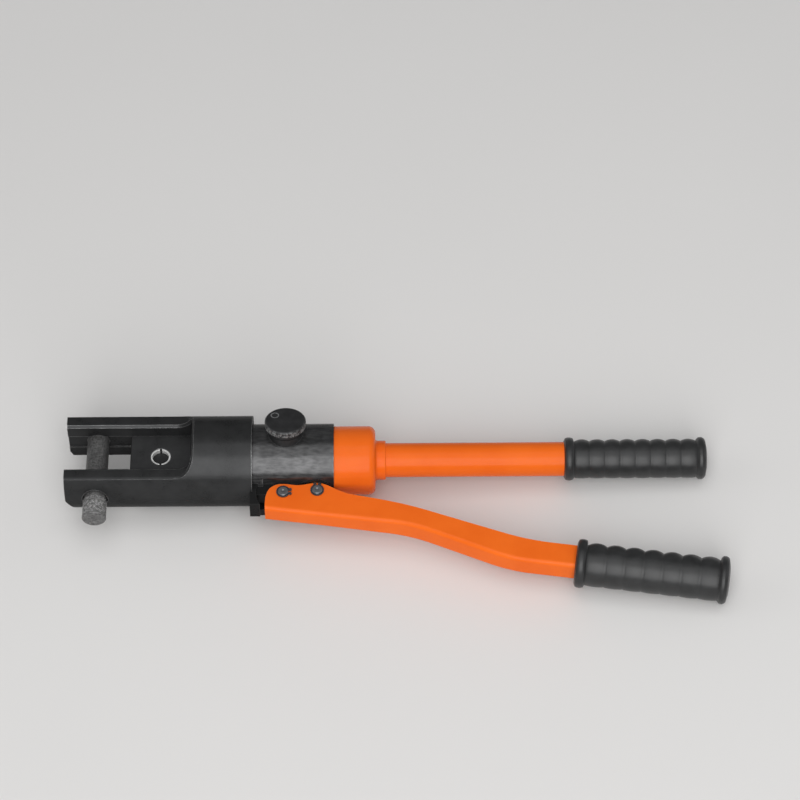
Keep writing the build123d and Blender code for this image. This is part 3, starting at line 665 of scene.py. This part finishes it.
def release_knob():
    """A flat-topped knob with a knurled rim over a plain waist, and a plain ring set in its top."""
    origin, axis = joint_line("release_turn")
    low, high = corners("release_knob")
    radius = (high.x - low.x) / 2
    top, rim_base, base = 40.3, 34.8, 31.4
    waist = radius - 2.0
    teeth, tooth_depth = 60, 0.34
    rim_edge, top_edge = 0.5, 1.1

    def serration(angle, along):
        if not rim_base + rim_edge < along < top - top_edge:
            return 0.0, (0.35 if rim_base < along < top - rim_edge else 0.0)
        tooth = abs((angle * teeth / (2 * math.pi)) % 1.0 - 0.5) * 2
        return -tooth_depth * (1 - tooth), 0.2 + 0.8 * tooth

    outline = rounded(
        [
            (top, 0), (top, radius - 1.3), (top - 1.0, radius - 0.1), (top - 1.2, radius),
            (rim_base + 0.6, radius), (rim_base, radius - 0.7), (rim_base, waist),
            (base, waist), (base, 5.2), (base + 2.0, 5.05), (base + 2.0, 0),
        ],
        [0, 0.5, 0.2, 0, 0.2, 0.2, 0.6, 0.6, 0, 0, 0],
    )
    where = place(origin, axis, (1, 0, 0))
    knob = lathe("release_valve_knob", even_line(outline, 1.6), where, teeth * 6, serration, 45)
    dress(knob, "release_valve", "release_knob")

    ring_centre = (-7.9, 5.6)
    outer, inner, proud, sunk = 3.2, 2.35, 0.06, -0.4
    spot = where @ Matrix.Translation(Vector((*ring_centre, top)) * MM)
    band = [(sunk, inner), (proud, inner), (proud, outer), (sunk, outer)]
    mark = lathe("release_knob_ring_mark", band, spot, 64)
    finish_piece(mark, LOOKS["zinc_steel"], "release_valve", ())


pump_body()
release_knob()

# ---------------------------------------------------------------- lever with its pins, and grips

GRIP_LEAN = math.radians(8.5)
GRIP_START = Vector((338.0, -95.2))
LEVER_TAIL = 104.0
CHANNEL_WALL = 2.5
CHANNEL_DEPTH = 9.3


def on_grip(along, across):
    """A point given along the lever grip's axis and across it, towards the tube."""
    ahead = Vector((math.cos(GRIP_LEAN), -math.sin(GRIP_LEAN)))
    aside = Vector((math.sin(GRIP_LEAN), math.cos(GRIP_LEAN)))
    return GRIP_START + ahead * along + aside * across


def smooth_through(points, per_span):
    """A smooth line through points, easing evenly between neighbours."""
    spots = [Vector(p) for p in points]
    spots = [2 * spots[0] - spots[1]] + spots + [2 * spots[-1] - spots[-2]]
    result = []
    for a, b, c, d in zip(spots, spots[1:], spots[2:], spots[3:]):
        for k in range(per_span):
            t = k / per_span
            square = (2 * a - 5 * b + 4 * c - d) * t * t
            cube = (3 * b - a - 3 * c + d) * t ** 3
            result.append(0.5 * (2 * b + (c - a) * t + square + cube))
    result.append(spots[-2])
    return result


def along_line(line, distance):
    """The point at a distance along a polyline."""
    for start, end in zip(line, line[1:]):
        step = (end - start).length
        if distance <= step:
            return start.lerp(end, distance / step)
        distance -= step
    return line[-1]


def distance_to(line, keep):
    """The distance along a polyline of the first spot where keep(point) turns positive."""
    travelled = 0.0
    for start, end in zip(line, line[1:]):
        a, b = keep(start), keep(end)
        step = (end - start).length
        if a <= 0 < b:
            return travelled + step * (-a) / (b - a)
        travelled += step
    return 0.0 if keep(line[0]) > 0 else travelled


def channel_way(x):
    """The direction that the channel runs in at a place along it."""
    slope_start, grip_start, pin_lean, slope_lean = 215, 320, 0.15, 0.28
    if x > grip_start:
        return on_grip(1, 0) - on_grip(0, 0)
    lean = pin_lean if x < slope_start else slope_lean
    return Vector((math.cos(lean), -math.sin(lean)))


def ramp(value, start, length):
    """A share that goes from 0 at a start to 1 after a length."""
    return min(1.0, max(0.0, (value - start) / length))


def channel_section(height, half):
    """The (height, half width) points of a U whose cheeks stand on the web with a fold radius."""
    fold, lip, least_radius, least_depth = 3.2, 0.6, 0.5, 0.2
    turns = [math.radians(a) for a in (0, 18, 36, 54, 72, 90)]
    bend = min(fold, height - lip)
    outer = [(height, half)]
    outer += [(bend * (1 - math.sin(a)), half - bend * (1 - math.cos(a))) for a in turns]
    small = max(least_radius, bend - CHANNEL_WALL)
    deep = half - CHANNEL_WALL
    inner = [
        (CHANNEL_WALL + small * (1 - math.sin(a)), deep - small * (1 - math.cos(a)))
        for a in reversed(turns)
    ]
    inner.append((max(height, CHANNEL_WALL + small + least_depth), deep))
    side = outer + [(h, -w) for h, w in reversed(outer)]
    return side + [(h, -w) for h, w in reversed(inner)] + inner


def lever_channel():
    """A pressed channel: its web bends over into two cheeks with a fold radius, the cheeks rise
    round the two pins, and the whole swings down to the grip."""
    fine = math.radians(1.2)
    web = rounded(
        [
            (102.7, -49.3), (212.0, -64.9),
            on_grip(-52, -CHANNEL_DEPTH), on_grip(LEVER_TAIL, -CHANNEL_DEPTH),
        ],
        120, step=fine,
    )
    cheeks = smooth_through(
        [
            (102.7, -44.0), (103.3, -38.0), (105.8, -31.6), (110.6, -28.1), (117.0, -27.2),
            (128.0, -28.4), (140.5, -26.5), (148.0, -27.9), (157.0, -32.8), (165.0, -36.6),
        ],
        5,
    )
    rear = rounded(
        [
            (165.0, -36.6), (205.0, -45.6),
            on_grip(-41, CHANNEL_DEPTH), on_grip(LEVER_TAIL, CHANNEL_DEPTH),
        ],
        [0, 350, 180, 0], step=fine,
    )
    narrow, widening = 8.2, 1.2
    vertices, loops = [], []
    for edge in cheeks + even_line(rear, 5.0)[1:]:
        way = channel_way(edge.x)
        below = distance_to(web, lambda p: p.x - edge.x)
        square = distance_to(web, lambda p: (p - edge).dot(way))
        foot = along_line(web, below + (square - below) * ramp(edge.x, 112.0, 40.0))
        rise = edge - foot
        up = rise.normalized()
        half = narrow + widening * ramp(edge.x, 150.0, 65.0)
        loop = []
        for h, w in channel_section(rise.length, half):
            spot = foot + up * h
            loop.append(len(vertices))
            vertices.append((spot.x, spot.y, w))
        loops.append(loop)
    lever = solid("lever_channel", vertices, skinned(loops), Matrix.Identity(4))
    soften(lever, 0.45, angle=50)
    dress(lever, "lever", "lever")


def round_pin(name, node, body):
    """A worn pin with chamfered ends, a centre hole in each and a groove for each clip."""
    low, high = corners(node)
    radius = (high.x - low.x) / 2
    half = (high.z - low.z) / 2
    centre = (low + high) / 2
    groove_outer, groove_inner, groove_end, groove_floor = -8.5, -7.6, -7.5, radius - 0.8
    end = [
        (-half + 1.1, 0), (-half + 0.5, 0.9), (-half, 1.35), (-half, radius - 0.55),
        (-half + 0.5, radius), (groove_outer, radius), (groove_outer, groove_floor),
        (groove_inner, groove_floor), (groove_end, radius),
    ]
    outline = rounded(end, 0.15)
    outline += [Vector((-h, r)) for h, r in reversed(outline)]
    pin = lathe(name, outline, place((centre.x, centre.y, 0), (0, 0, 1)), 64)
    finish_piece(pin, LOOKS["worn_pin_steel"], body, (node,))


def ribbed_grip(name, node, body, where, length, flange, core, deep, lobes, first, bore):
    """A moulded grip: a rolled front rim, barrel lobes with sharp grooves between them, and a
    domed rear end with its own rim. A bore lets the tube run in up to the rear end. The grooves
    are shallow, and as deep as asked only on the side that faces Y."""
    tail, end_wall, hollow, groove, nick = 8.2, 6.0, 1.1, 0.5, 0.12
    lip, roll, swell_steps, lobe_steps = 0.5, 0.72, 10, 14
    pitch = (length - tail - first) / lobes
    outline = [Vector((length - end_wall, 0)), Vector((length - end_wall, bore))] if bore else []
    outline += rounded([(0.4, bore), (0, bore + 0.5), (0, flange - 2.6), (1.0, flange - lip)], 0.8)
    for k in range(swell_steps + 1):
        share = k / swell_steps
        swell = roll * math.sin(math.pi * share) ** 0.8
        outline.append(Vector((1.0 + (first - 2.0) * share, flange - lip + swell)))
    outline.append(Vector((first - 0.4, core - groove + 0.35)))
    for lobe in range(lobes):
        for k in range(lobe_steps):
            share = k / lobe_steps
            swing = abs(2 * share - 1)
            radius = core - groove * swing ** 2 - (nick if k == 0 else 0.0)
            outline.append(Vector((first + pitch * (lobe + share), radius)))
    outline.append(Vector((length - tail, core - groove - nick)))
    outline += rounded(
        [
            (length - tail + 0.6, core - groove + 0.3), (length - tail + 1.8, flange - 0.3),
            (length - 3.9, flange), (length - 1.5, flange - 1.4), (length - 0.3, core - 5.5),
            (length, 5.0), (length - hollow, 3.6), (length - hollow, 0),
        ],
        [0, 1.6, 2.6, 2.6, 3.0, 1.0, 0.6, 0],
        step=math.radians(9),
    )
    seam_height, seam_half_angle, margin = 0.07, 0.03, 0.5

    def mould(angle, along):
        off = abs(math.remainder(angle, math.pi))
        seam = seam_height * max(0.0, 1 - off / seam_half_angle)
        if not first - margin < along < length - tail + margin:
            return seam, 0.0
        swing = abs(2 * ((along - first) / pitch % 1.0) - 1)
        return seam - (deep - groove) * swing ** 2 * max(0.0, -math.sin(angle)), 0.0

    dress(lathe(name, outline, where, 120, mould, 38), body, node)


lever_channel()
round_pin("lever_fulcrum_pin", "fulcrum_pin", "tool_body")
round_pin("plunger_drive_pin", "drive_pin", "lever")
for node, body in (("fulcrum_clips", "tool_body"), ("drive_pin_clips", "lever")):
    name = node.replace("_clips", "_retaining_clips")
    dress(softened_copy(node, name, 0.12), body, node)

lever_axis = Vector((math.cos(GRIP_LEAN), -math.sin(GRIP_LEAN), 0))
grip_front = Vector((*on_grip(-4.0, 0), 0))
ribbed_grip(
    "lever_ribbed_grip", "lever_grip", "lever", place(grip_front, lever_axis),
    length=114.2, flange=18.0, core=16.3, deep=2.3, lobes=7, first=8.1, bore=0,
)

# ---------------------------------------------------------------- collar, tube and fixed grip


def collar():
    """The painted collar over the pump body's end, and its neck over the tube."""
    low, high = corners("reservoir_collar")
    tube_low, tube_high = corners("reservoir_tube")
    radius = (high.y - low.y) / 2
    bore = (tube_high.y - tube_low.y) / 2 + 0.02
    neck, neck_length, neck_gap = 14.9, 9.1, 1.3
    socket, socket_back, throat, throat_back = 23.0, 14.4, 17.5, 9.3
    shoulder = high.x - neck_length
    outline = rounded(
        [
            (low.x, socket), (low.x, radius), (shoulder, radius), (shoulder, neck),
            (high.x - neck_gap, neck), (high.x - neck_gap, bore), (shoulder - throat_back, bore),
            (shoulder - socket_back, throat), (shoulder - socket_back, socket),
        ],
        [0, 0.7, 7.4, 1.5, 1.6, 0, 0, 0, 0], closed=True, step=math.radians(8),
    )
    piece = lathe("painted_collar", even_line(outline, 4.0), on_tube(0), 128)
    dress(piece, "tool_body", "reservoir_collar")


def handle_tube():
    """The painted tube between the collar and the fixed grip's rear end."""
    low, high = corners("reservoir_tube")
    radius = (high.y - low.y) / 2
    inner = radius - 2.5
    outline = rounded(
        [(low.x, inner), (low.x, radius), (high.x, radius), (high.x, inner)], 0.4, closed=True
    )
    piece = lathe("painted_tube", even_line(outline, 6.0), on_tube(0))
    dress(piece, "tool_body", "reservoir_tube")


collar()
handle_tube()
low, high = corners("fixed_grip")
ribbed_grip(
    "tube_ribbed_grip", "fixed_grip", "tool_body", on_tube(low.x),
    length=high.x - low.x, flange=16.2, core=14.9, deep=1.8, lobes=8, first=7.9, bore=13.02,
)

# ---------------------------------------------------------------- studio


def floor():
    """A pale floor that the head's rear edge and the lever grip's rear end lie on."""
    head_low, head_high = corners("head_yoke")
    grip_low, grip_high = corners("lever_grip")
    gap, heel, across, reach = 0.05, 6.0, 6000.0, 12000.0
    drop = grip_low.z - head_low.z
    slope = drop / (grip_high.x - heel - head_high.x)
    vertices = []
    for x, y in ((-reach, -across), (reach, -across), (reach, across), (-reach, across)):
        vertices.append((x, y, head_low.z - gap + slope * (x - head_high.x)))
    plane = solid("studio_floor", vertices, [(0, 1, 2, 3)], Matrix.Identity(4))
    look = Look("studio_floor", Specular_IOR_Level=0.3)
    cloud = look.noise(400.0, 3.0)
    look.colour(look.mix(cloud, (0.70, 0.69, 0.68), (0.73, 0.72, 0.71)))
    look.rough(0.6)
    plane.data.materials.append(look.material)


def lamp(name, azimuth, elevation, distance, width, height, power, aim):
    """A soft rectangular light that looks at a point from an azimuth, -90 being in front."""
    data = bpy.data.lights.new(name, "AREA")
    data.shape = "RECTANGLE"
    data.size, data.size_y = width, height
    data.energy = power
    light = new_object(name, data)
    az, el = math.radians(azimuth), math.radians(elevation)
    way = Vector((math.cos(el) * math.cos(az), math.cos(el) * math.sin(az), math.sin(el)))
    light.location = aim + way * distance
    light.rotation_euler = way.to_track_quat("Z", "Y").to_euler()
    light.visible_camera = False


def studio():
    """The camera, the soft lights and the pale surround."""
    aim = Vector((0.2044, 0.057, 0.0))
    pivot = Vector((0.189, 0.0, 0.0))
    pitch, turn, distance = math.radians(53.4), math.radians(-0.46), 2.352
    away = Vector((0, -math.cos(pitch), math.sin(pitch)))
    camera_data = bpy.data.cameras.new("camera")
    camera_data.lens = 137.25
    camera_data.sensor_width = 36.0
    camera_data.clip_end = 100.0
    camera = new_object("camera", camera_data)
    spin = Matrix.Translation(pivot) @ Matrix.Rotation(turn, 4, "Z") @ Matrix.Translation(-pivot)
    tilt = Matrix.Rotation(math.pi / 2 - pitch, 4, "X")
    stance = Matrix.Translation(aim + away * distance) @ tilt
    camera.matrix_world = spin @ stance
    bpy.context.scene.camera = camera

    lamp("key", -90, 40, 3.4, 2.4, 3.2, 94, aim)
    lamp("top", -90, 84, 3.4, 3.0, 2.4, 30, aim)
    lamp("left_fill", 180, 25, 3.0, 2.0, 2.0, 8, aim)
    lamp("right_fill", 0, 25, 3.0, 2.0, 2.0, 8, aim)
    world = bpy.data.worlds.new("surround")
    bpy.context.scene.world = world
    world.use_nodes = True
    background = world.node_tree.nodes["Background"]
    background.inputs["Color"].default_value = (0.93, 0.94, 0.95, 1)
    background.inputs["Strength"].default_value = 0.24
    bpy.context.scene.view_settings.view_transform = "Standard"


floor()
studio()
